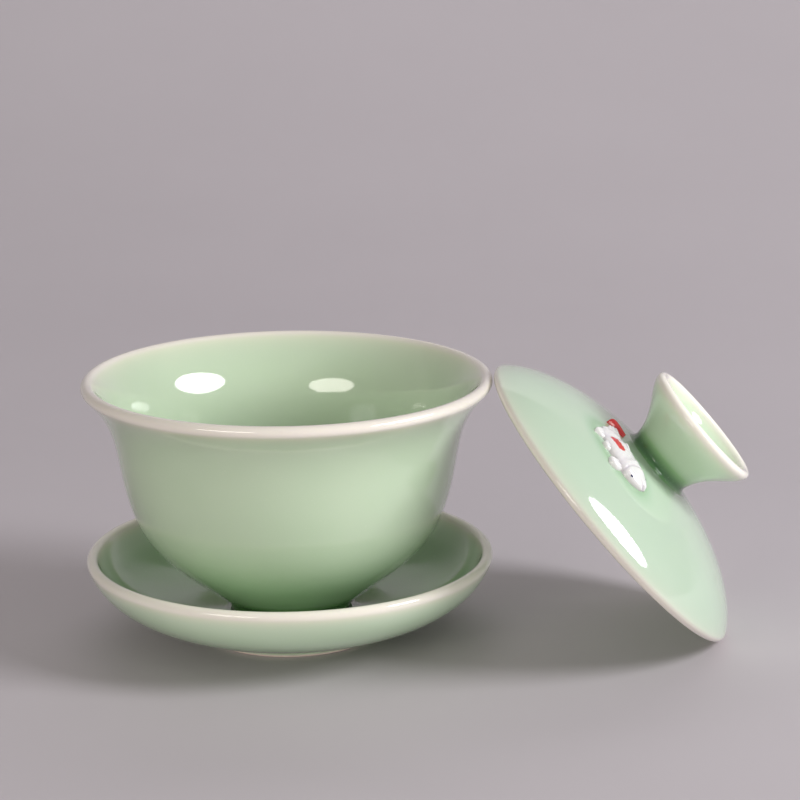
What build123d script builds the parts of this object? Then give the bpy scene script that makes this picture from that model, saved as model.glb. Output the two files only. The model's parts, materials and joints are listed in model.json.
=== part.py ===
"""A celadon gaiwan: a saucer, a flared cup standing on it, and a lid leaning on the cup's lip.

Millimetres, +Z up. The origin is the centre of the saucer's foot ring, on the table.
+X runs from the cup's axis towards the leaning lid.
Bows are the pull at each end of a curved wall, as shares of its chord. Rises are degrees from level.
"""

import os
from math import asin, cos, degrees, radians, sin, sqrt

from build123d import *

# --- saucer -------------------------------------------------------------------------------
saucer_radius = 50.0
saucer_height = 20.6
saucer_lip_round = 1.4
saucer_lip_rise = 71.8
saucer_foot_radius = 22.0
saucer_foot_width = 3.0
saucer_foot_height = 1.45
saucer_foot_flare = 0.8
saucer_wall_rise = 23.7  # how steeply the wall leaves the foot ring
saucer_outer_bows = (0.25, 0.40)
saucer_inner_bows = (0.42, 0.33)
saucer_recess = 2.1  # hollow under the base, inside the foot ring
saucer_base = 2.95  # thickness of the base under the cup
saucer_bed = 0.6  # depth of the bed that the cup's foot stands in
bed_clearance = 0.8
bed_land = 1.5  # level land round the bed, before the dish curves up

# --- cup ----------------------------------------------------------------------------------
cup_radius = 50.0
cup_height = 59.5
cup_lip_round = 1.5
cup_lip_flare = 44.2
cup_foot_radius = 13.4
cup_foot_width = 3.0
cup_foot_height = 4.3
cup_foot_flare = 3.6
cup_recess_draft = 1.0
cup_foot_recess = 2.9
cup_base = 3.2
cup_wall = 2.3
cup_belly_wall = 4.6  # the wall is thicker where the belly meets the foot
cup_belly_rise = 37.4
cup_belly_bows = (0.455, 0.487)
cup_floor_bows = (0.45, 0.20)
cup_waist_inset = 8.8  # the waist stands this much inside the lip's outside
cup_waist_drop = 20.9  # and this far below the top of the lip
cup_waist_rise = 80.7
cup_flare_bows = (0.358, 0.420)

# --- lid, in its own frame: rim in the plane z = 0, dome towards +z ---------------------------
lid_radius = 43.0
lid_edge_round = 1.4
lid_edge_rise = 50.0
lid_crown = 16.4
lid_wall = 2.5
dome_bows = (0.368, 0.262)  # at the crown and at the edge
lip_gap = 0.3  # between the leaning lid's edge and the cup's lip
lift_gap = 0.05  # the lid's edge stands this far outside the cup's lip

# --- knob ---------------------------------------------------------------------------------
knob_radius = 16.5
knob_height = 15.4  # from the lid's crown to the top of the knob
knob_lip_round = 1.2
knob_lip_rise = 77.4
knob_neck_radius = 8.65
knob_neck_rise = 79.3
knob_wall = 2.2
knob_bows = (0.45, 0.25)

# --- koi, a relief on the dome beside the knob ----------------------------------------------
koi_height = 1.8
koi_bearing = -120.5  # round the knob, from the lid's downhill side
koi_to_neck = 12.85  # from the knob's neck to the middle of the fish's body
koi_heading = -43.2
koi_outline = [  # nose to tail along x, belly towards -y
    (9.7, 1.0),
    (7.6, -3.5),
    (4.2, -6.0),
    (1.0, -5.8),
    (-1.7, -3.9),
    (-4.5, -3.4),
    (-8.0, -4.2),
    (-9.2, -0.3),
    (-12.0, 4.6),
    (-13.0, 8.8),
    (-9.5, 7.2),
    (-6.5, 4.3),
    (-1.4, 4.3),
    (5.5, 4.2),
]

# --- heights and places that follow ----------------------------------------------------------
bed_level = saucer_recess + saucer_base
lip_level = bed_level + cup_height
knob_level = lid_crown + knob_height

# The lid leans on the cup: its edge is a round of lid_edge_round, the cup's lip a round of
# cup_lip_round, and the opposite side of the edge stands on the table.
lip_centre = Vector(cup_radius - cup_lip_round, lip_level - cup_lip_round)
touch = cup_lip_round + lid_edge_round
edge_centre = lip_centre + Vector(touch + lift_gap, sqrt((touch + lip_gap) ** 2 - (touch + lift_gap) ** 2))
edge_span = 2 * (lid_radius - lid_edge_round)
lean = asin((edge_centre.Y - lid_edge_round) / edge_span)
lid_axis = Vector(sin(lean), 0, cos(lean))
lid_downhill = Vector(cos(lean), 0, -sin(lean))
lid_top_edge = Vector(edge_centre.X, 0, edge_centre.Y)
lid_origin = lid_top_edge + lid_downhill * (edge_span / 2) - lid_axis * lid_edge_round
lid_plane = Plane(origin=lid_origin, x_dir=lid_downhill, z_dir=lid_axis)
lid_section = Plane(origin=lid_origin, x_dir=lid_downhill, z_dir=-lid_plane.y_dir)
lid_centreline = Axis(lid_origin, lid_axis)


def heading(angle):
    """Unit vector at an angle in degrees from level, in a section."""
    return Vector(cos(radians(angle)), sin(radians(angle)))


def rounded_edge(centre, radius, angle):
    """The two tangent points and the tip of a round that ends a wall running along angle."""
    out = heading(angle - 90) * radius
    return centre + out, centre + heading(angle) * radius, centre - out


def wall_curve(start, start_angle, end, end_angle, bows):
    """One curved stretch of wall, leaving start and reaching end at the given angles."""
    chord = (end - start).length
    first = start + heading(start_angle) * (bows[0] * chord)
    last = end - heading(end_angle) * (bows[1] * chord)
    return Bezier(start, first, last, end)


def wall_back(start, start_angle, end, end_angle, bows):
    """The same stretch drawn the other way, for the inside of a wall."""
    return wall_curve(start, start_angle + 180, end, end_angle + 180, bows[::-1])


# --- saucer -------------------------------------------------------------------------------
saucer_rim = Vector(saucer_radius - saucer_lip_round, saucer_height - saucer_lip_round)
rim_out, rim_tip, rim_in = rounded_edge(saucer_rim, saucer_lip_round, saucer_lip_rise)
foot_out = Vector(saucer_foot_radius, 0)
foot_in = Vector(saucer_foot_radius - saucer_foot_width, 0)
recess_edge = Vector(foot_in.X - saucer_foot_flare, saucer_recess)
wall_start = Vector(saucer_foot_radius + saucer_foot_flare, saucer_foot_height)
bed_radius = cup_foot_radius + bed_clearance
bed_edge = Vector(bed_radius + saucer_bed, bed_level + saucer_bed)
dish_edge = bed_edge + Vector(bed_land, 0)

with BuildPart() as saucer:
    with BuildSketch(Plane.XZ):
        with BuildLine():
            Polyline((0, bed_level), (0, saucer_recess), recess_edge, foot_in, foot_out, wall_start)
            wall_curve(wall_start, saucer_wall_rise, rim_out, saucer_lip_rise, saucer_outer_bows)
            ThreePointArc(rim_out, rim_tip, rim_in)
            wall_back(rim_in, saucer_lip_rise, dish_edge, 0, saucer_inner_bows)
            Polyline(dish_edge, bed_edge, (bed_radius, bed_level), (0, bed_level))
        make_face()
    revolve(axis=Axis.Z)
saucer.part.label = "saucer"
os.makedirs("parts", exist_ok=True)
export_step(saucer.part, "parts/saucer.step")

# --- cup ----------------------------------------------------------------------------------
cup_out, cup_tip, cup_in = rounded_edge(lip_centre, cup_lip_round, cup_lip_flare)
waist = Vector(cup_radius - cup_waist_inset, lip_level - cup_waist_drop)
waist_in = waist + heading(cup_waist_rise + 90) * cup_wall
cup_foot_out = Vector(cup_foot_radius, bed_level)
cup_foot_in = Vector(cup_foot_radius - cup_foot_width, bed_level)
cup_recess_edge = cup_foot_in + Vector(-cup_recess_draft, cup_foot_recess)
belly = Vector(cup_foot_radius + cup_foot_flare, bed_level + cup_foot_height)
belly_in = belly + heading(cup_belly_rise + 90) * cup_belly_wall
cup_floor = Vector(0, cup_recess_edge.Y + cup_base)

with BuildPart() as cup:
    with BuildSketch(Plane.XZ):
        with BuildLine():
            Polyline(cup_floor, (0, cup_recess_edge.Y), cup_recess_edge, cup_foot_in, cup_foot_out, belly)
            wall_curve(belly, cup_belly_rise, waist, cup_waist_rise, cup_belly_bows)
            wall_curve(waist, cup_waist_rise, cup_out, cup_lip_flare, cup_flare_bows)
            ThreePointArc(cup_out, cup_tip, cup_in)
            wall_back(cup_in, cup_lip_flare, waist_in, cup_waist_rise, cup_flare_bows)
            wall_back(waist_in, cup_waist_rise, belly_in, cup_belly_rise, cup_belly_bows)
            wall_back(belly_in, cup_belly_rise, cup_floor, 0, cup_floor_bows)
        make_face()
    revolve(axis=Axis.Z)
cup.part.label = "cup"
export_step(cup.part, "parts/cup.step")

# --- lid ----------------------------------------------------------------------------------
lid_edge = Vector(lid_radius - lid_edge_round, lid_edge_round)
edge_in, edge_tip, edge_out = rounded_edge(lid_edge, lid_edge_round, -lid_edge_rise)
lid_inner_crown = Vector(0, lid_crown - lid_wall)


def dome_curve(lift):
    """The dome's outside from its edge to its crown, raised by lift."""
    raised = Vector(0, lift)
    return wall_back(edge_out + raised, -lid_edge_rise, Vector(0, lid_crown) + raised, 0, dome_bows)


with BuildPart() as lid:
    with BuildSketch(lid_section):
        with BuildLine():
            outside = dome_curve(0)
            Line(outside @ 1, lid_inner_crown)
            wall_curve(lid_inner_crown, 0, edge_in, -lid_edge_rise, dome_bows)
            ThreePointArc(edge_in, edge_tip, edge_out)
        make_face()
    revolve(axis=lid_centreline)
lid.part.label = "lid"
export_step(lid.part, "parts/lid.step")

# --- knob ---------------------------------------------------------------------------------
knob_lip = Vector(knob_radius - knob_lip_round, knob_level - knob_lip_round)
knob_out, knob_tip, knob_in = rounded_edge(knob_lip, knob_lip_round, knob_lip_rise)
neck_level = lid_crown - lid_wall / 2  # inside the dome's wall, so the neck meets it all round
neck_out = Vector(knob_neck_radius, neck_level)
neck_in = Vector(knob_neck_radius - knob_wall, neck_level)

with BuildPart() as lid_knob:
    with BuildSketch(lid_section):
        with BuildLine():
            wall_curve(neck_out, knob_neck_rise, knob_out, knob_lip_rise, knob_bows)
            ThreePointArc(knob_out, knob_tip, knob_in)
            wall_back(knob_in, knob_lip_rise, neck_in, knob_neck_rise, knob_bows)
            Line(neck_in, neck_out)
        make_face()
    revolve(axis=lid_centreline)
    add(lid.part, mode=Mode.SUBTRACT)
lid_knob.part.label = "lid_knob"
export_step(lid_knob.part, "parts/lid_knob.step")

# --- koi ----------------------------------------------------------------------------------
koi_centre = heading(koi_bearing) * (knob_neck_radius + koi_to_neck)
koi_forward = heading(koi_heading)
koi_plane = Plane(
    origin=lid_plane.from_local_coords(koi_centre),
    x_dir=lid_plane.x_dir * koi_forward.X + lid_plane.y_dir * koi_forward.Y,
    z_dir=lid_axis,
)

with BuildPart() as koi:
    with BuildSketch(koi_plane):
        with BuildLine():
            Spline(*koi_outline, periodic=True)
        make_face()
    extrude(amount=knob_level)
    for lift, mode in ((koi_height, Mode.INTERSECT), (0, Mode.SUBTRACT)):
        with BuildSketch(lid_section):
            with BuildLine():
                top = dome_curve(lift)
                Polyline(top @ 1, (0, 0), ((top @ 0).X, 0), top @ 0)
            make_face()
        revolve(axis=lid_centreline, mode=mode)
koi.part.label = "koi"
export_step(koi.part, "parts/koi.step")

print("lean", round(degrees(lean), 2), "lid origin", lid_origin)
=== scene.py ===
# %% [markdown]
# # A celadon gaiwan
# A gaiwan is a lidded tea bowl: a flared cup, a saucer under it and a lid that leans on the cup while the
# tea is poured. This lesson builds its looks round a finished CAD model, which gives every size and place.
# We go as a potter does: the forms first, on the wheel, then the applied fish, then the glaze.

# %% Load the frame
import json
import math

import bpy
import numpy as np
from mathutils import Matrix, Quaternion, Vector

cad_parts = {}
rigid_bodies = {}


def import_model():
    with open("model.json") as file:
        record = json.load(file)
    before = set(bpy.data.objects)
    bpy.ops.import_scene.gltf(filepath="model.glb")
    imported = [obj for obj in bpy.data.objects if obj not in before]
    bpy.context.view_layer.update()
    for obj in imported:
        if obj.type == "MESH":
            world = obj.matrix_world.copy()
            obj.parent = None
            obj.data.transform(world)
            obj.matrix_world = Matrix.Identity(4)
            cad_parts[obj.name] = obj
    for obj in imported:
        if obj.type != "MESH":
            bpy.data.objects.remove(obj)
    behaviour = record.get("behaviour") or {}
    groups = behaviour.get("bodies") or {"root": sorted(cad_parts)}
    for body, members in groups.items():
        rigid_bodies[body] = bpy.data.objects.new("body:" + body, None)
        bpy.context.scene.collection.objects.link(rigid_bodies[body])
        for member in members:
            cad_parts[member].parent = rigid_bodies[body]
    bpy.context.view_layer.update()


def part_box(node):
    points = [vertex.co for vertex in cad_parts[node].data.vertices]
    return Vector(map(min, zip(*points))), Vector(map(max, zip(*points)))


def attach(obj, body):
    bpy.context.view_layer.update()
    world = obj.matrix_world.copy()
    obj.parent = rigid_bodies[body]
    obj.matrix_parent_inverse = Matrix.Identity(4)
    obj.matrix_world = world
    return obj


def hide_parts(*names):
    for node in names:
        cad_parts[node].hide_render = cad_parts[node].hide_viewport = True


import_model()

mm = 0.001

# %% [markdown]
# ## The camera
# The cup is seen from a little above its lip, so that the far lip shows over the near one and the inside is
# open to view. A longish lens keeps the circles from looking stretched. The camera is made first, because
# everything after it is judged through it.

# %% Camera
camera_stand = Vector((53.5, -630.8, 219.6)) * mm
camera_aim = Vector((27.4, 0.0, 58.3)) * mm
camera_roll = math.radians(-0.54)
camera_data = bpy.data.cameras.new("camera")
camera_data.lens = 120.9
camera_data.sensor_width = 36.0
camera = bpy.data.objects.new("camera", camera_data)
camera.location = camera_stand
aimed = (camera_aim - camera_stand).to_track_quat("-Z", "Y")
camera.rotation_euler = (aimed @ Quaternion((0, 0, 1), camera_roll)).to_euler()
bpy.context.scene.collection.objects.link(camera)
bpy.context.scene.camera = camera
print("camera stands", round((camera_aim - camera_stand).length, 3), "m from its aim")

# %% [markdown]
# ## The light
# Gloss is only as good as what it reflects. A studio would light this set with one big softbox on the lid's
# side and let the shadows fall the other way. A single lamp gives the dome and the inside of the cup
# highlights of the wrong shape, so here the key is split: a tall one for the lid, a wide one for the cup, a
# small one for the hollow of the knob, and a round one for the saucer and the floor. A weak warm one stands
# in front on the other side. Three more only soften shade: on the paper behind, on the saucer's shaded side
# and on the fronts. They show in no reflection.

# %% Softboxes
cool_white = (0.98, 0.98, 1.0)
tea_table = (30, 0, 40)


def softbox(name, place, aim, size, power, colour):
    """An oval area light, placed and aimed in millimetres. It lights and reflects, but isn't seen itself."""
    data = bpy.data.lights.new(name, "AREA")
    data.shape = "ELLIPSE"
    data.size, data.size_y = size
    data.energy = power
    data.color = colour
    lamp = bpy.data.objects.new(name, data)
    lamp.location = Vector(place) * mm
    lamp.rotation_euler = (Vector(aim) * mm - Vector(place) * mm).to_track_quat("-Z", "Y").to_euler()
    lamp.visible_camera = False
    bpy.context.scene.collection.objects.link(lamp)
    return lamp


key_floor = softbox("key_softbox", (838, -178, 555), tea_table, (0.42, 0.42), 6.5, cool_white)
key_cup = softbox("key_softbox_cup", (858, -289, 397), tea_table, (0.67, 0.35), 7.3, cool_white)
key_lid = softbox("key_softbox_lid", (935, -85, 552), tea_table, (0.29, 0.61), 8.1, (0.96, 0.99, 1.0))
key_knob = softbox("key_softbox_knob", (836, -502, 488), tea_table, (0.34, 0.42), 3.7, (0.97, 0.99, 1.0))
softbox("fill_softbox", (-390, -735, 278), tea_table, (0.50, 0.20), 1.7, (1.0, 0.95, 0.88))
back = softbox("back_softbox", (0, 950, 1100), (0, 1150, 0), (1.6, 0.6), 4.3, (1.0, 0.99, 1.0))
bounce = softbox("bounce_card", (420, -640, 60), tea_table, (0.5, 0.3), 1.1, (0.96, 1.0, 0.95))
wash = softbox("front_wash", (420, -1450, 200), tea_table, (1.2, 0.5), 3.2, (1.0, 0.98, 0.94))
for unseen in (back, wash, bounce):
    unseen.visible_glossy = False

# %% Room
world = bpy.data.worlds.new("room")
world.use_nodes = True
room = world.node_tree.nodes["Background"]
room.inputs["Color"].default_value = (1.0, 0.98, 0.94, 1)
room.inputs["Strength"].default_value = 0.28
bpy.context.scene.world = world
bpy.context.scene.view_settings.view_transform = "Standard"
print("room light", round(room.inputs["Strength"].default_value, 2))

# %% [markdown]
# ## Sums with sockets
# A shader tree is arithmetic drawn as boxes. It reads better as arithmetic, so a small class wraps a socket
# and takes the usual signs: every sum adds its own Math node. `Recipe` holds one material, and its one
# method makes any other node: the type, then the settings, then what goes into the sockets.

# %% Wire
class Wire:
    """An output socket that does sums."""

    def __init__(self, recipe, socket):
        self.recipe = recipe
        self.socket = socket

    def sum(self, operation, first, second):
        return self.recipe.node("ShaderNodeMath", {"operation": operation}, {0: first, 1: second})["Value"]

    def __add__(self, other):
        return self.sum("ADD", self, other)

    def __radd__(self, other):
        return self.sum("ADD", other, self)

    def __sub__(self, other):
        return self.sum("SUBTRACT", self, other)

    def __rsub__(self, other):
        return self.sum("SUBTRACT", other, self)

    def __mul__(self, other):
        return self.sum("MULTIPLY", self, other)

    def __truediv__(self, other):
        return self.sum("DIVIDE", self, other)

    def rise(self, low, high):
        """0 below low, 1 above high, and an easy slope between."""
        settings = {"interpolation_type": "SMOOTHSTEP"}
        return self.recipe.node("ShaderNodeMapRange", settings, {"Value": self, 1: low, 2: high})["Result"]


# %% Recipe
class Made:
    """A node, whose outputs are read by name as wires."""

    def __init__(self, recipe, node):
        self.recipe = recipe
        self.node = node

    def __getitem__(self, output):
        return Wire(self.recipe, self.node.outputs[output])


class Recipe:
    """One material's node tree."""

    def __init__(self, name):
        self.material = bpy.data.materials.new(name)
        self.material.use_nodes = True
        self.tree = self.material.node_tree
        self.tree.nodes.clear()

    def node(self, kind, settings, inputs):
        node = self.tree.nodes.new(kind)
        for key, value in settings.items():
            if key == "stops":
                self.set_stops(node.color_ramp.elements, value)
            else:
                setattr(node, key, value)
        for key, value in inputs.items():
            if isinstance(value, Wire):
                self.tree.links.new(value.socket, node.inputs[key])
            else:
                node.inputs[key].default_value = value
        return Made(self, node)

    def set_stops(self, elements, stops):
        while len(elements) < len(stops):
            elements.new(1.0)
        for element, (place, colour) in zip(elements, stops):
            element.position = place
            element.color = colour

    def attribute(self, name):
        """A number that was written on the mesh's points."""
        return self.node("ShaderNodeAttribute", {"attribute_name": name}, {})["Fac"]

    def place(self):
        """Where a point is on its own piece, in metres."""
        return self.node("ShaderNodeTexCoord", {}, {})["Object"]

    def noise(self, scale, detail=2.0):
        inputs = {"Vector": self.place(), "Scale": scale, "Detail": detail}
        return self.node("ShaderNodeTexNoise", {}, inputs)["Fac"]

    def blend(self, share, first, second):
        """Two colours mixed."""
        inputs = {0: share, 6: first, 7: second}
        return Wire(self, self.node("ShaderNodeMix", {"data_type": "RGBA"}, inputs).node.outputs[2])

    def surface(self, **inputs):
        """The Principled shader and the output. Names are the sockets' own, with _ for a space."""
        named = {key.replace("_", " "): value for key, value in inputs.items()}
        shader = self.node("ShaderNodeBsdfPrincipled", {}, named)["BSDF"]
        self.node("ShaderNodeOutputMaterial", {}, {"Surface": shader})
        return self.material


# %% Colours
def to_linear(channel):
    """One channel of a screen colour, 0 to 255, as the linear light that shaders use."""
    share = channel / 255
    return share / 12.92 if share < 0.04045 else ((share + 0.055) / 1.055) ** 2.4


def from_screen(red, green, blue):
    """A screen colour as linear light, with its alpha."""
    return (to_linear(red), to_linear(green), to_linear(blue), 1)


print("pale glaze, in linear light:", [round(c, 3) for c in from_screen(204, 222, 196)])

# %% [markdown]
# ## The floor
# A long sheet of pale grey paper that lies flat under the tea things and sweeps up behind them, as studio
# paper does, so no horizon shows. A plane with a bent end would do; the sweep is drawn here as an arc so
# that its shade changes slowly. A faint mottle keeps it from looking like a hole in the picture.

# %% Floor
paper = Recipe("floor_paper")
mottle = paper.noise(9.0, 3.0)
paper_colour = paper.blend(mottle, from_screen(195, 188, 193), from_screen(200, 193, 198))
paper.surface(Base_Color=paper_colour, Roughness=0.7)

half_sheet = 4.0
flat_end = 0.35
sweep_radius = 0.9
front_end = -3.0
sheet_top = 3.0
outline = [(front_end, 0.0), (flat_end, 0.0)]
sweep_steps = 48
for step in range(1, sweep_steps + 1):
    rise = math.radians(90 * step / sweep_steps)
    outline.append((flat_end + sweep_radius * math.sin(rise), sweep_radius * (1 - math.cos(rise))))
outline.append((flat_end + sweep_radius, sheet_top))
sheet_points = [(side * half_sheet, y, z) for y, z in outline for side in (-1, 1)]
sheet_faces = [(2 * i, 2 * i + 1, 2 * i + 3, 2 * i + 2) for i in range(len(outline) - 1)]
floor_mesh = bpy.data.meshes.new("floor")
floor_mesh.from_pydata(sheet_points, [], sheet_faces)
floor_mesh.polygons.foreach_set("use_smooth", [True] * len(sheet_faces))
floor = bpy.data.objects.new("floor", floor_mesh)
floor.location.z = -0.02 * mm  # a hair low, so that the foot ring and the paper never share a plane
bpy.context.scene.collection.objects.link(floor)
floor.data.materials.append(paper.material)
print("floor is", 2 * half_sheet, "m wide")

# %% [markdown]
# ## Sizes from the frame
# The lip, the saucer and the lid are read from the CAD nodes' boxes. Smaller sizes, such as a lip's round,
# repeat the ones that the CAD was drawn with. The lid's lean follows from where its edge touches the lip
# and the table, exactly as it does on the table.

# %% Sizes, in millimetres
cup_low, cup_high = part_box("cup")
saucer_low, saucer_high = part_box("saucer")
lid_low, lid_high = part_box("lid")
cup_radius = (cup_high.x - cup_low.x) / 2 / mm
bed_level = cup_low.z / mm
lip_level = cup_high.z / mm
saucer_radius = (saucer_high.x - saucer_low.x) / 2 / mm
saucer_height = saucer_high.z / mm
lid_radius = (lid_high.y - lid_low.y) / 2 / mm
print("cup radius", round(cup_radius, 2), "lip", round(lip_level, 2), "lid radius", round(lid_radius, 2))

# %% [markdown]
# ## Turning a form
# Every piece of the gaiwan is thrown and turned, so each is drawn as half a section, from the axis round to
# the axis, and spun. Lathe modifiers exist, but doing it in code lets us keep, with each point of the
# section, how far along the clay it lies. That is what the glaze needs later: it runs thin off a lip and
# gathers in a corner.

# %% Section
def heading(angle):
    """Unit vector at an angle in degrees from level."""
    return np.array([math.cos(math.radians(angle)), math.sin(math.radians(angle))])


class Section:
    """Half of a turned form's section, in millimetres, with named marks along it."""

    def __init__(self, start):
        self.points = [np.array(start, float)]
        self.marks = {}

    def line(self, end, mark=None):
        self.points.append(np.array(end, float))
        return self.note(mark)

    def note(self, mark):
        if mark:
            self.marks[mark] = len(self.points) - 1
        return self

    def wall(self, start_angle, end, end_angle, start_bow, end_bow, mark=None):
        """A curved stretch of wall. The bows are shares of the chord."""
        start, end = self.points[-1], np.array(end, float)
        chord = np.linalg.norm(end - start)
        first = start + heading(start_angle) * start_bow * chord
        last = end - heading(end_angle) * end_bow * chord
        for t in np.linspace(0, 1, 121)[1:]:
            u = 1 - t
            self.points.append(u**3 * start + 3 * u * u * t * first + 3 * u * t * t * last + t**3 * end)
        return self.note(mark)

    def lip(self, centre, radius, start_angle, end_angle, mark):
        """A round that ends a wall. The mark is its tip."""
        for angle in np.linspace(start_angle, end_angle, 31):
            self.points.append(np.array(centre) + radius * heading(angle))
            if mark not in self.marks and angle >= (start_angle + end_angle) / 2:
                self.note(mark)
        return self

    def turned(self, soften, tolerance=0.004, step=0.1):
        """Distances along the section, and its points once wet hands have softened every corner."""
        raw = np.array(self.points)
        along = np.concatenate([[0], np.cumsum(np.linalg.norm(np.diff(raw, axis=0), axis=1))])
        self.at = {name: along[i] for name, i in self.marks.items()}
        s = np.linspace(0, along[-1], int(along[-1] / step))
        fine = np.stack([np.interp(s, along, raw[:, k]) for k in (0, 1)], 1)
        reach = int(3 * soften / step)
        kernel = np.exp(-0.5 * (np.arange(-reach, reach + 1) * step / soften) ** 2)
        kernel /= kernel.sum()
        ahead, behind = fine[reach:0:-1] * (-1, 1), fine[-2 : -reach - 2 : -1] * (-1, 1)
        padded = np.vstack([ahead, fine, behind])
        soft = np.stack([np.convolve(padded[:, k], kernel, "valid") for k in (0, 1)], 1)
        soft[0, 0] = soft[-1, 0] = 0
        keep = thin_out(soft, tolerance)
        return s[keep], soft[keep]


# %% Fewest points
def thin_out(points, tolerance, longest=40):
    """Indices of the points that a shape needs: where it bends there are many, where it runs straight few."""
    keep = {0, len(points) - 1}
    stack = [(0, len(points) - 1)]
    while stack:
        a, b = stack.pop()
        if b - a < 2:
            continue
        chord = points[b] - points[a]
        length = max(np.linalg.norm(chord), 1e-9)
        off = points[a + 1 : b] - points[a]
        away = np.abs(off[:, 0] * chord[1] - off[:, 1] * chord[0]) / length
        if length < 1e-6:
            away = np.linalg.norm(off, axis=1)
        worst = int(np.argmax(away))
        if away[worst] > tolerance or b - a > longest:
            middle_one = a + 1 + worst if away[worst] > tolerance else (a + b) // 2
            keep.add(middle_one)
            stack += [(a, middle_one), (middle_one, b)]
    return np.array(sorted(keep))


# %% Lathe
def near(value, place, width):
    """1 where a value is at a place, fading to 0 over a width."""
    return np.exp(-(((value - place) / width) ** 2))


def turn(name, s, section, steps, wobble=0.0, place=None):
    """Spins a section into a closed mesh. Returns the object, each point's distance along, and the points."""
    inner = section[1:-1]
    count = len(inner)
    angles = np.linspace(0, 2 * math.pi, steps, endpoint=False)
    swing = 1 - wobble * (0.5 + 0.3 * np.cos(2 * angles + 0.7) + 0.2 * np.cos(3 * angles + 2.1))
    radius = inner[:, 0][:, None] * swing[None]
    x = radius * np.cos(angles)
    y = radius * np.sin(angles)
    z = np.repeat(inner[:, 1][:, None], steps, 1)
    ring = np.stack([x, y, z], -1).reshape(-1, 3)
    points = np.vstack([[0, 0, section[0, 1]], ring, [0, 0, section[-1, 1]]])
    faces = []
    for k in range(steps):
        n = (k + 1) % steps
        faces.append((0, 1 + n, 1 + k))
        last = 1 + (count - 1) * steps
        faces.append((last + k, last + n, len(points) - 1))
        for i in range(count - 1):
            a, b = 1 + i * steps, 1 + (i + 1) * steps
            faces.append((a + k, a + n, b + n, b + k))
    mesh = bpy.data.meshes.new(name)
    mesh.from_pydata(points * mm, [], faces)
    along = np.concatenate([[s[0]], np.repeat(s[1:-1], steps), [s[-1]]])
    if place is not None:
        mesh.transform(place)
    mesh.polygons.foreach_set("use_smooth", [True] * len(mesh.polygons))
    mesh.update()
    piece = bpy.data.objects.new(name, mesh)
    bpy.context.scene.collection.objects.link(piece)
    print(name, "has", len(points), "points and", count, "rings")
    return piece, along, points


def write(piece, name, values):
    """Stores one number for each point of a mesh, for a material to read."""
    numbers = piece.data.attributes.new(name, "FLOAT", "POINT").data
    numbers.foreach_set("value", np.asarray(values, np.float32))


def finish_piece(piece, material, body, node):
    """Gives a piece its material and its body, and hides the CAD node that it stands for, if one is named."""
    piece.data.materials.append(material)
    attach(piece, body)
    if node:
        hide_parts(node)


# %% [markdown]
# ## The glaze
# Celadon is a clear glaze tinted green by a trace of iron. Its colour is its depth: over a lip it is so
# thin that the cream porcelain shows, on a wall it is pale green, and in a corner where it gathered it is
# bottle green. So the colour is a ramp read by one number, the depth, which each mesh carries. A slow noise
# stands for uneven dipping and a fine one for the tiny bubbles in the glass. Bare clay on a foot ring is
# rough and has no gloss. On the saucer and the cup that number also carries painted shade and light, and
# the lid's green is tinted bluer as painted cool light.

# %% Celadon
def celadon(name, deepen=0.0, cool_light=0):
    """Glaze over porcelain. deepen shifts the depth everywhere; the last number moves the green towards blue,
    a painted tint of cooler light.
    """
    recipe = Recipe(name)
    depth_and_shade = recipe.attribute("glaze") + deepen + (recipe.noise(45.0, 2.0) - 0.5) * 0.16
    bubbles = recipe.noise(2600.0, 1.0).rise(0.62, 0.78)
    stops = [
        (0.00, from_screen(243, 236, 226)),
        (0.12, from_screen(240, 236, 224)),
        (0.26, from_screen(224 - cool_light, 230, 208 + cool_light)),
        (0.44, from_screen(204 - cool_light, 222, 196 + cool_light)),
        (0.56, from_screen(189 - cool_light, 213, 182 + cool_light)),
        (0.72, from_screen(140 - cool_light, 180, 128 + cool_light)),
        (1.00, from_screen(60, 108, 60)),
    ]
    tint = recipe.node("ShaderNodeValToRGB", {"stops": stops}, {"Fac": depth_and_shade / 2.0})["Color"]
    tint = recipe.blend(bubbles * 0.10, tint, from_screen(232, 238, 222))
    bare = recipe.attribute("bare")
    clay = recipe.blend(recipe.noise(900.0, 3.0), from_screen(226, 208, 196), from_screen(240, 226, 214))
    colour = recipe.blend(bare, tint, clay)
    grit = recipe.noise(3500.0, 2.0) * bare * 0.5
    ripple = recipe.noise(140.0, 1.0) * 0.9 + recipe.noise(1100.0, 1.0) * 0.05 + grit
    bump = recipe.node("ShaderNodeBump", {}, {"Height": ripple, "Strength": 0.06, "Distance": 0.4 * mm})
    rough = 0.055 + recipe.noise(300.0, 2.0) * 0.03 + bare * 0.65
    return recipe.surface(
        Base_Color=colour,
        Roughness=rough,
        Coat_Weight=(1 - bare) * 0.6,
        Coat_Roughness=0.03,
        IOR=1.5,
        Subsurface_Weight=0.12,
        Subsurface_Radius=(0.9, 1.0, 0.7),
        Subsurface_Scale=1.5 * mm,
        Normal=bump["Normal"],
    )


# %% [markdown]
# ## The saucer
# A shallow dish on a foot ring, with a bed in the middle for the cup's foot. It could be shaped from a disc
# with a subdivision modifier, but a saucer is a turned thing, and its section says exactly how thick it is
# where. The glaze pools inside the dish, thins over the lip, and is wiped off the ring that stands on the
# table. The deeper green of the dish and of the bed under the cup is partly painted shade.

# %% Saucer section
saucer_lip_round = 1.4
saucer_lip_rise = 71.8
saucer_wall_rise = 23.7
saucer_foot_out, saucer_foot_in = 22.0, 19.0
saucer_foot_height, saucer_foot_flare = 1.45, 0.8
saucer_recess = 2.1
bed_radius, bed_depth, bed_slope, bed_land = 14.2, 0.6, 0.6, 1.5
lip_centre = np.array([saucer_radius - saucer_lip_round, saucer_height - saucer_lip_round])
lip_out = lip_centre + heading(saucer_lip_rise - 90) * saucer_lip_round
wall_start = (saucer_foot_out + saucer_foot_flare, saucer_foot_height)
dish_level = bed_level + bed_depth

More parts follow.
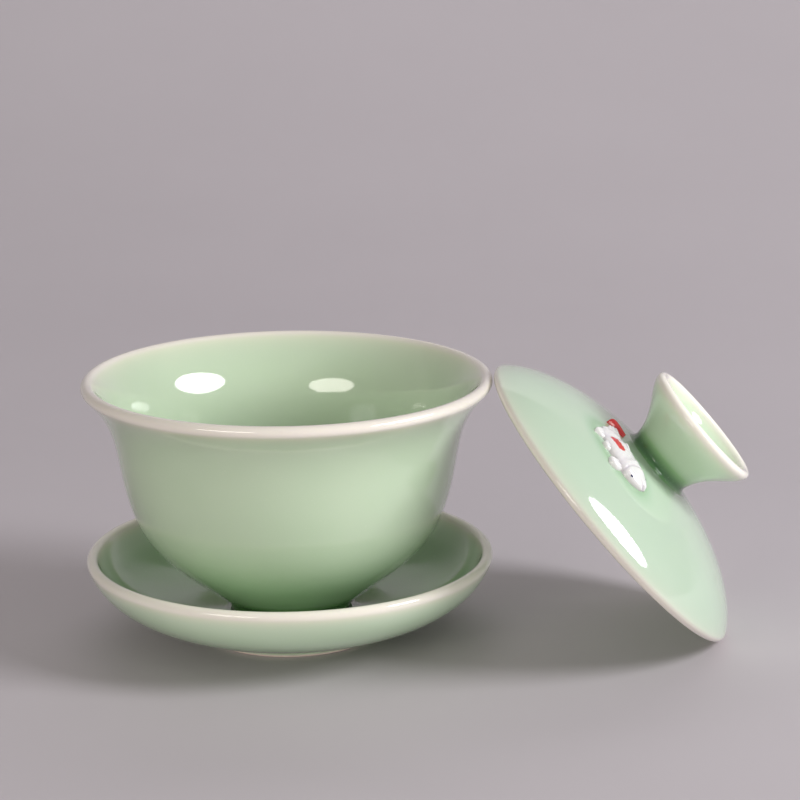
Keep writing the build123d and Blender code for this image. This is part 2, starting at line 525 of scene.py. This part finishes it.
saucer_section = Section((0, saucer_recess))
saucer_section.line((saucer_foot_in - saucer_foot_flare, saucer_recess)).line((saucer_foot_in, 0), "foot_in")
saucer_section.line((saucer_foot_out, 0), "foot_out").line(wall_start, "wall_start")
saucer_section.wall(saucer_wall_rise, lip_out, saucer_lip_rise, 0.25, 0.40)
saucer_section.lip(lip_centre, saucer_lip_round, saucer_lip_rise - 90, saucer_lip_rise + 90, "lip")
saucer_section.wall(saucer_lip_rise + 180, (bed_radius + bed_slope + bed_land, dish_level), 180, 0.33, 0.42)
saucer_section.line((bed_radius + bed_slope, dish_level)).line((bed_radius, bed_level), "bed")
saucer_section.line((0, bed_level))
s, section = saucer_section.turned(soften=0.28)
print("saucer section has", len(section), "points")

# %% Saucer
at = saucer_section.at
saucer, s, _ = turn("saucer_glazed", s, section, 192, wobble=0.002)
thin = near(s, at["lip"], 2.6) + 0.45 * near(s, at["lip"], 6.0) + 0.5 * near(s, at["foot_out"], 1.6)
inside = 1 / (1 + np.exp(-(s - at["lip"] - 7) / 2.0))
# Partly real pooling and partly painted shade: the bed under the cup's foot and the whole dish are darkened.
extra_depth = 0.5 * near(s, at["bed"], 1.6) + 0.35 * near(s, at["wall_start"], 1.8) + 0.25 * inside
write(saucer, "glaze", np.clip(1 - thin, 0, 1) + extra_depth)
write(saucer, "bare", ((s > at["foot_in"] - 0.7) & (s < at["foot_out"] + 0.5)).astype(float))
finish_piece(saucer, celadon("celadon_saucer", 0.1), "saucer", "saucer")

# %% [markdown]
# ## The cup
# Thin walls rise from a small foot, stand nearly upright at the waist and flare to a rounded lip that
# throws the heat away from the fingers. Inside and outside are two curves a wall apart, not one shell
# thickened by a modifier, because a potter leaves the belly thicker than the lip. The lip is the palest
# place on the whole set.

# %% Cup section
cup_lip_round = 1.5
cup_flare = 44.2
cup_wall = 2.3
belly_wall = 4.6
belly_rise = 37.4
waist_rise, waist_inset, waist_drop = 80.7, 8.8, 20.9
cup_foot_out, cup_foot_in, cup_foot_height, cup_foot_flare = 13.4, 10.4, 4.3, 3.6
cup_recess, cup_recess_draft, cup_floor = 2.9, 1.0, 3.2
belly_bows = (0.455, 0.487)
flare_bows = (0.358, 0.420)
lip_centre = np.array([cup_radius - cup_lip_round, lip_level - cup_lip_round])
lip_out = lip_centre + heading(cup_flare - 90) * cup_lip_round
waist = np.array([cup_radius - waist_inset, lip_level - waist_drop])
waist_in = waist + heading(waist_rise + 90) * cup_wall
belly = np.array([cup_foot_out + cup_foot_flare, bed_level + cup_foot_height])
belly_in = belly + heading(belly_rise + 90) * belly_wall
recess_level = bed_level + cup_recess

cup_section = Section((0, recess_level))
cup_section.line((cup_foot_in - cup_recess_draft, recess_level)).line((cup_foot_in, bed_level), "foot_in")
cup_section.line((cup_foot_out, bed_level), "foot_out").line(belly, "belly")
cup_section.wall(belly_rise, waist, waist_rise, *belly_bows).wall(waist_rise, lip_out, cup_flare, *flare_bows)
cup_section.lip(lip_centre, cup_lip_round, cup_flare - 90, cup_flare + 90, "lip")
cup_section.wall(cup_flare + 180, waist_in, waist_rise + 180, *reversed(flare_bows))
cup_section.wall(waist_rise + 180, belly_in, belly_rise + 180, *reversed(belly_bows))
cup_section.wall(belly_rise + 180, (0, recess_level + cup_floor), 180, 0.20, 0.45)
s, section = cup_section.turned(soften=0.3)
print("cup section has", len(section), "points")

# %% Cup
at = cup_section.at
cup, s, _ = turn("cup_glazed", s, section, 256, wobble=0.002)
inside = s > at["lip"]
thin = near(s, at["lip"], 2.5) + 0.35 * near(s, at["lip"], 5.5)
# Greener towards the foot outside: partly thicker glaze, partly a painted reflection of the green saucer
# below.
low = 1 / (1 + np.exp(-(at["belly"] + 22 - s) / 7.0)) * (s > at["foot_out"])
deep = 1 / (1 + np.exp(-(s - at["lip"] - 52) / 9.0))
# Painted light: the whole inside of the cup is made paler by taking depth away.
extra_depth = 0.75 * near(s, at["belly"], 1.5) + 0.16 * low + 0.3 * deep - 0.10 * inside
write(cup, "glaze", np.clip(1 - thin, 0, 1) + extra_depth)
write(cup, "bare", ((s > at["foot_in"] - 0.5) & (s < at["foot_out"] + 0.4)).astype(float))
finish_piece(cup, celadon("celadon_cup", 0.0, -1), "cup", "cup")

# %% [markdown]
# ## The lid's place
# The lid is drawn level, rim down, and then carried to where it leans. Its edge touches the cup's lip above
# and the table below, which fixes the lean. We could turn it by hand until it looks right, but two contacts
# and a length give the angle by sines, and it stays right if a size changes.

# %% Lid frame
edge_round = 1.4
lip_gap = 0.3
lift_gap = 0.05
touch = cup_lip_round + edge_round
beside = touch + lift_gap
edge_at = lip_centre + np.array([beside, math.sqrt((touch + lip_gap) ** 2 - beside**2)])
edge_span = 2 * (lid_radius - edge_round)
lean = math.asin((edge_at[1] - edge_round) / edge_span)
lid_axis = Vector((math.sin(lean), 0, math.cos(lean)))
downhill = Vector((math.cos(lean), 0, -math.sin(lean)))
lid_origin = Vector((edge_at[0], 0, edge_at[1])) + downhill * (edge_span / 2) - lid_axis * edge_round
lid_turn = Matrix((downhill, (0, 1, 0), lid_axis)).transposed().to_4x4()
lid_place = Matrix.Translation(lid_origin * mm) @ lid_turn
print("the lid leans", round(math.degrees(lean), 2), "degrees, from", [round(v, 2) for v in lid_origin])

# %% [markdown]
# ## The lid
# A low dome with a rounded edge, turned like the cup. The dome's curve is kept as it is drawn, because the
# knob and the fish both sit on it, and they can then be laid on the very same curve.

# %% Lid
lid_crown = 16.4
lid_wall = 2.5
edge_rise = 50.0
dome_bows = (0.368, 0.262)
edge_centre = np.array([lid_radius - edge_round, edge_round])
edge_in = edge_centre - heading(90 - edge_rise) * edge_round

lid_section = Section((0, lid_crown - lid_wall))
lid_section.wall(0, edge_in, -edge_rise, *dome_bows)
lid_section.lip(edge_centre, edge_round, -90 - edge_rise, 90 - edge_rise, "edge")
start = len(lid_section.points)
lid_section.wall(180 - edge_rise, (0, lid_crown), 180, *reversed(dome_bows))
dome = np.array(lid_section.points[start:])[::-1]
lid_s, section = lid_section.turned(soften=0.25)
lid, lid_s, lid_points = turn("lid_glazed", lid_s, section, 256, wobble=0.0015, place=lid_place)


# %% Height of the dome
def dome_at(x, y):
    """The dome's height over a point of the lid's plane, and its outward normal there."""
    r = np.hypot(x, y)
    height = np.interp(r, dome[:, 0], dome[:, 1])
    slope = np.gradient(dome[:, 1], dome[:, 0])
    lean_out = -np.interp(r, dome[:, 0], slope)
    safe = np.maximum(r, 1e-6)
    normal = np.stack([lean_out * x / safe, lean_out * y / safe, np.ones_like(r)], -1)
    return height, normal / np.linalg.norm(normal, axis=-1, keepdims=True)


# %% [markdown]
# ## The fish's place
# The fish was pressed in a mould and stuck on beside the knob with slip. It lies nose to tail along its own
# x, so its points are written on a flat sheet and then laid on the dome by one function. A shrinkwrap
# modifier would do the same by feel; a formula does it exactly.

# %% Fish frame
neck_radius = 8.65
fish_turn = -43.2
fish_x = heading(fish_turn)
fish_y = heading(fish_turn + 90)
fish_bearing, fish_to_neck, fish_aside = -120.5, 12.85, 1.1
fish_middle = heading(fish_bearing) * (neck_radius + fish_to_neck) - fish_y * fish_aside
print("the fish lies", round(float(np.hypot(*fish_middle)), 1), "mm from the lid's axis")


def on_dome(u, v, height):
    """Points of the fish's own plane, laid on the dome and raised by height, then carried to the lid."""
    u, v, height = np.broadcast_arrays(*(np.asarray(a, float) for a in (u, v, height)))
    x = fish_middle[0] + u * fish_x[0] + v * fish_y[0]
    y = fish_middle[1] + u * fish_x[1] + v * fish_y[1]
    z, normal = dome_at(x, y)
    p = np.stack([x, y, z], -1) + normal * height[..., None]
    flat = p.reshape(-1, 3)
    m = np.array(lid_place)
    return (flat * mm @ m[:3, :3].T + m[:3, 3]).reshape(p.shape)


# %% [markdown]
# ## The lid's glaze
# Glaze gathers round the foot of anything that stands on the dome: in a dark ring at the knob's neck, and
# in a soft green halo round the fish. Both are distances in the lid's plane, so they are worked out for
# each point of the mesh and stored with it, and no picture has to be painted.

# %% Lid glaze
at = lid_section.at
thin = near(lid_s, at["edge"], 1.6) + 0.25 * near(lid_s, at["edge"], 4.0)
top_side = lid_s > at["edge"]
radius = np.hypot(lid_points[:, 0], lid_points[:, 1])
ring = np.exp(-np.clip(radius - neck_radius - 0.6, 0, None) / 1.3) * top_side
to_fish = (lid_points[:, :2] - fish_middle) @ np.stack([fish_x, fish_y], 1)
oval = np.hypot((to_fish[:, 0] + 0.8) / 10.8, (to_fish[:, 1] - 0.6) / 5.4)
halo = near(oval, 1.0, 0.28) * top_side
write(lid, "glaze", np.clip(1 - thin, 0, 1) * 0.92 + 0.7 * ring + 0.40 * halo)
write(lid, "bare", np.zeros(len(lid_s)))
# The lid's glaze is given a bluer green than the cup's: painted cooler light, not a different glaze.
finish_piece(lid, celadon("celadon_lid", -0.08, 3), "lid", "lid")

# %% [markdown]
# ## The knob
# A ring thrown like a tiny cup and luted on: it is the handle, and the lid's foot when it lies upside down.
# It is turned like the rest. Its base spreads into the dome where the slip was smoothed, so no hard seam
# shows.

# %% Knob section
knob_radius = 16.5
knob_height = 15.4
knob_top = lid_crown + knob_height
knob_lip_round = 1.2
knob_rise = 77.4
knob_wall = 2.2
lip_at = np.array([knob_radius - knob_lip_round, knob_top - knob_lip_round])
knob_out = lip_at + heading(knob_rise - 90) * knob_lip_round
spread = 1.7
spread_rise, neck_rise, hollow_rise = 172, 80, 259
foot_radius = neck_radius + spread
foot_height = float(np.interp(foot_radius, dome[:, 0], dome[:, 1])) - 0.05
neck_end = (neck_radius + 0.30, foot_height + 1.9)
hollow_end = (neck_radius - knob_wall, lid_crown + 2.2)
hollow_floor = (0, lid_crown + 0.35)

knob_section = Section((0, lid_crown - 1.0))
knob_section.line((foot_radius - 0.5, foot_height - 0.8)).line((foot_radius, foot_height))
knob_section.wall(spread_rise, neck_end, neck_rise, 0.45, 0.45, "neck")
knob_section.wall(neck_rise, knob_out, knob_rise, 0.42, 0.25)
knob_section.lip(lip_at, knob_lip_round, knob_rise - 90, knob_rise + 90, "lip")
knob_section.wall(knob_rise + 180, hollow_end, hollow_rise, 0.25, 0.45)
knob_section.wall(hollow_rise, hollow_floor, 180, 0.45, 0.55)
s, section = knob_section.turned(soften=0.2)
print("knob section has", len(section), "points")

# %% Knob
at = knob_section.at
knob, s, _ = turn("knob_glazed", s, section, 160, wobble=0.0015, place=lid_place)
thin = near(s, at["lip"], 2.2) + 0.45 * near(s, at["lip"], 4.5)
extra_depth = 0.8 * near(s, at["neck"] - 0.9, 2.4) + 0.15 * near(s, at["neck"], 7.0)
write(knob, "glaze", np.clip(1 - thin, 0, 1) + extra_depth)
write(knob, "bare", np.zeros(len(s)))
finish_piece(knob, celadon("celadon_knob"), "lid", "lid_knob")

# %% [markdown]
# ## The fish
# A small carp in low relief. It could be sculpted, but a press mould leaves simple swells and creases, and
# those are easy to say: the body is a bowed form with a blunt head, a gill groove and rows of soft scales.
# Everything is a grid of heights laid on the dome through the same function, so nothing floats.

# %% Laying a sheet on the dome
def relief(name, u, v, height, paint, skirt=0.35):
    """A closed low relief from a grid: the grid is its top, and its edge is carried down into the dome."""
    rows, columns = u.shape
    top = on_dome(u, v, height)
    under = on_dome(u, v, np.full_like(u, -skirt))
    points = np.vstack([top.reshape(-1, 3), under.reshape(-1, 3)])
    size = rows * columns
    faces = []
    for i in range(rows - 1):
        for j in range(columns - 1):
            a = i * columns + j
            quad = (a, a + 1, a + columns + 1, a + columns)
            faces.append(quad)
            faces.append(tuple(size + k for k in reversed(quad)))
    rim = list(range(columns))
    rim += [i * columns + columns - 1 for i in range(1, rows)]
    rim += [(rows - 1) * columns + j for j in range(columns - 2, -1, -1)]
    rim += [i * columns for i in range(rows - 2, 0, -1)]
    for a, b in zip(rim, rim[1:] + rim[:1]):
        faces.append((b, a, size + a, size + b))
    mesh = bpy.data.meshes.new(name)
    mesh.from_pydata(points, [], faces)
    mesh.polygons.foreach_set("use_smooth", [True] * len(mesh.polygons))
    mesh.update()
    piece = bpy.data.objects.new(name, mesh)
    bpy.context.scene.collection.objects.link(piece)
    write(piece, "red", np.tile(np.asarray(paint, float).reshape(-1), 2))
    print(name, "has", len(points), "points")
    return piece


# %% A painted spot
def patch(u, v, start, end, width, softness=0.18):
    """1 inside a long soft-edged spot between two ends."""
    run_u, run_v = end[0] - start[0], end[1] - start[1]
    along = np.clip(((u - start[0]) * run_u + (v - start[1]) * run_v) / (run_u**2 + run_v**2), 0, 1)
    away = np.hypot(u - start[0] - along * run_u, v - start[1] - along * run_v)
    return 1 / (1 + np.exp((away - width) / softness))


# %% Fish enamel
def enamel(name):
    """White slip under clear glaze, with painted lilac-grey shade in its creases and down its sides, and the
    red that was painted on.
    """
    recipe = Recipe(name)
    red = recipe.attribute("red") + (recipe.noise(1500.0, 3.0) - 0.5) * 0.5
    white = recipe.blend(recipe.noise(500.0, 2.0), from_screen(245, 240, 242), from_screen(253, 251, 250))
    brush = recipe.blend(recipe.noise(800.0, 2.0), from_screen(214, 22, 36), from_screen(232, 84, 84))
    # Painted shade: the white turns lilac grey in the creases and where the fish's sides fall away.
    shaded_white = recipe.blend(recipe.attribute("crease") * 0.6, white, from_screen(206, 196, 208))
    colour = recipe.blend(red.rise(0.30, 0.72), shaded_white, brush)
    ripple = recipe.noise(1300.0, 2.0)
    bump = recipe.node("ShaderNodeBump", {}, {"Height": ripple, "Strength": 0.12, "Distance": 0.2 * mm})
    return recipe.surface(
        Base_Color=colour,
        Roughness=0.16 + recipe.noise(700.0, 1.0) * 0.08,
        Coat_Weight=0.5,
        Coat_Roughness=0.08,
        Subsurface_Weight=0.1,
        Subsurface_Radius=(1.0, 0.9, 0.8),
        Subsurface_Scale=0.8 * mm,
        Normal=bump["Normal"],
    )


fish_enamel = enamel("koi_enamel")
print(fish_enamel.name, "has", len(fish_enamel.node_tree.nodes), "nodes")

# %% Fish outline
nose, stem = 10.0, -8.6
length = nose - stem
run = np.linspace(0, 1, 97)[:, None]
across = np.linspace(-1, 1, 49)[None]
stations = [0, 0.03, 0.10, 0.22, 0.40, 0.60, 0.80, 1.0]
half_width = np.interp(run, stations, [0.7, 1.8, 2.9, 3.6, 3.9, 3.9, 3.5, 2.8])
smoothing = np.hanning(9) / np.hanning(9).sum()
half_width = np.convolve(np.pad(half_width[:, 0], 4, "edge"), smoothing, "valid")[:, None]
centre_line = np.interp(run, [0, 0.2, 0.55, 1.0], [1.3, 0.6, 0.4, 1.4])
u = nose - run * length + 0 * across
v = centre_line + half_width * across
print("fish body is", round(length, 1), "by", round(2 * float(half_width.max()), 1), "mm")

# %% Swells and creases
# The back's height along the fish, and how it rounds off to the sides.
crest = np.interp(run, [0, 0.05, 0.2, 0.4, 0.7, 1.0], [0.7, 1.3, 1.8, 1.95, 1.6, 0.9])
arch = np.sqrt(np.clip(1 - np.abs(across) ** 3.2, 0, 1))
# The head: a bowed gill groove, two cheeks and the cut of the mouth.
gill = near(u, 4.0 + 0.10 * (v - 0.3) ** 2, 0.30)
cheek = near(u, 5.2, 1.1) * near(np.abs(v - 0.2), 2.2, 1.2)
mouth = 0.7 * near(u, nose, 1.3) * near(v, 1.3, 0.34)
# The body: a crease behind the side fin and one before the tail, and scales in staggered rows.
waist_line = near(u, 2.0 - 0.3 * v, 0.9) + near(u, 0.2 * v - 5.4, 0.8)
scale_long, scale_wide = 1.3, 1.05
row, side = (3.2 - u) / scale_long, (v - 0.2) / scale_wide
scale = (row + 0.5 * (np.floor(side) % 2)) % 1.0
scale_lift = 0.10 * scale * (1 - np.abs((side % 1.0) * 2 - 1) ** 3) * (u < 3.0) * arch
print("the fish's back is", round(float(crest.max()), 2), "mm high")

# %% Fish body
body_height = crest * arch - 0.20 * gill + 0.22 * cheek - mouth + scale_lift - 0.18 * waist_line * arch
# Painted shade: where the fish is grooved and where its sides fall away, a number that tints the white lilac
# grey.
crease = np.clip(gill + 2 * mouth + 0.5 * waist_line + 0.5 * (1 - arch), 0, 1)
koi_body = relief("koi_body", u, v, body_height, patch(u, v, (-4.4, -0.2), (-1.2, -0.4), 1.0))
write(koi_body, "crease", np.tile(crease.reshape(-1), 2))
finish_piece(koi_body, fish_enamel, "lid", "koi")


# %% [markdown]
# ## Fins and eyes
# Each fin is a leaf between a root and a tip, bent to one side, with rays pressed in. They overlap the body
# as they do in the mould. One tail lobe stands up against the knob and is painted red. The eyes are beads
# of dark enamel, sunk a little so that they look fired on.

# %% Fins
def fin(name, root, tip, bend, width, crest, rays, red=0):
    """A leaf from root to tip in the fish's own plane, bowed by bend, with rays pressed in."""
    root, tip = np.array(root), np.array(tip)
    chord = tip - root
    side = np.array([-chord[1], chord[0]]) / np.linalg.norm(chord)
    t = np.linspace(0, 1, 33)[:, None]
    w = np.linspace(-1, 1, 33)[None]
    spread = width * (0.35 + 0.65 * np.sin(math.pi * np.clip(0.12 + 0.80 * t, 0, 1)))
    centre = root[None, None] + t[..., None] * chord + (bend * np.sin(math.pi * t))[..., None] * side
    place = centre + (spread * w)[..., None] * side
    pressed = 0.10 * np.cos(w * rays * math.pi) * t
    rounded = np.sqrt(np.clip(1 - w**4, 0, 1)) * np.sqrt(np.clip(1 - t**8, 0, 1))
    height = crest * (0.45 + 0.55 * t) * rounded + pressed
    piece = relief(name, place[..., 0], place[..., 1], height, np.full(w.size * t.size, float(red)))
    finish_piece(piece, fish_enamel, "lid", None)


fin("koi_tail_outer", (-5.2, -0.4), (-8.6, -2.9), -0.4, 1.8, 1.0, 3)
fin("koi_tail_middle", (-5.6, 1.6), (-10.0, 1.4), 0.3, 2.1, 1.0, 3)
fin("koi_tail_inner", (-5.8, 3.6), (-10.9, 5.4), 0.6, 2.0, 1.1, 3)
fin("koi_tail_red", (-8.4, 8.3), (-13.4, 6.3), -0.3, 0.9, 1.9, 2, red=1)
fin("koi_side_fin", (3.6, -1.8), (1.6, -5.4), 0.5, 1.7, 1.3, 3)
fin("koi_belly_fin", (-1.0, -1.6), (-4.2, -3.2), 0.3, 1.4, 1.1, 3)
fin("koi_back_fin", (2.6, 2.0), (-4.0, 3.2), 0.3, 0.6, 2.3, 1)

# %% Eyes
eye_ink = Recipe("koi_eye_ink")
ink = eye_ink.blend(eye_ink.noise(4000.0, 1.0), from_screen(30, 32, 78), from_screen(54, 58, 118))
eye_ink.surface(Base_Color=ink, Roughness=0.12, Coat_Weight=0.6, Coat_Roughness=0.05)


def bead(name, u, v, height, radius=0.40):
    """A flattened bead of enamel."""
    rings, turns, flatness = 9, 24, 0.6
    points = [Vector((0, 0, flatness * radius))]
    for i in range(1, rings):
        out = radius * math.sin(math.pi * i / rings)
        up = flatness * radius * math.cos(math.pi * i / rings)
        for k in range(turns):
            angle = 2 * math.pi * k / turns
            points.append(Vector((out * math.cos(angle), out * math.sin(angle), up)))
    points.append(Vector((0, 0, -flatness * radius)))
    last = 1 + (rings - 2) * turns
    faces = []
    for k in range(turns):
        n = (k + 1) % turns
        faces.append((0, 1 + k, 1 + n))
        for a in range(1, last, turns):
            faces.append((a + k, a + turns + k, a + turns + n, a + n))
        faces.append((last + k, last + turns, last + n))
    mesh = bpy.data.meshes.new(name)
    mesh.from_pydata([point * mm for point in points], [], faces)
    middle_point = Vector(on_dome(u, v, height).tolist())
    mesh.transform(Matrix.Translation(middle_point) @ lid_turn)
    mesh.polygons.foreach_set("use_smooth", [True] * len(mesh.polygons))
    piece = bpy.data.objects.new(name, mesh)
    bpy.context.scene.collection.objects.link(piece)
    finish_piece(piece, eye_ink.material, "lid", None)
    print(name, "has", len(points), "points")


sunk = 0.10
for name, eye_u, eye_v in (("koi_eye_near", 6.9, -1.7), ("koi_eye_far", 6.9, 3.55)):
    closest = np.argmin((u - eye_u) ** 2 + (v - eye_v) ** 2)
    bead(name, eye_u, eye_v, body_height.flat[closest] - sunk)

# %% [markdown]
# ## Which light reaches which piece
# Each part of the split key is now given its own pieces. Light linking does this: a lamp with a collection
# of receivers lights nothing else, while every piece still casts its shadow. It comes last, once every
# piece exists.

# %% Light linking
def only_for(lamp, pieces):
    """Lets a lamp light these pieces and no other."""
    receivers = bpy.data.collections.new(lamp.name + "_receivers")
    for piece in pieces:
        receivers.objects.link(piece)
    lamp.light_linking.receiver_collection = receivers


on_lid = [o for o in bpy.data.objects if o.name.startswith(("lid_glazed", "knob_glazed", "koi"))]
only_for(key_lid, on_lid)
only_for(key_knob, [knob])
only_for(key_cup, [cup])
only_for(key_floor, [floor, saucer])
only_for(bounce, [saucer])
print("the lid's light reaches", len(on_lid), "pieces")
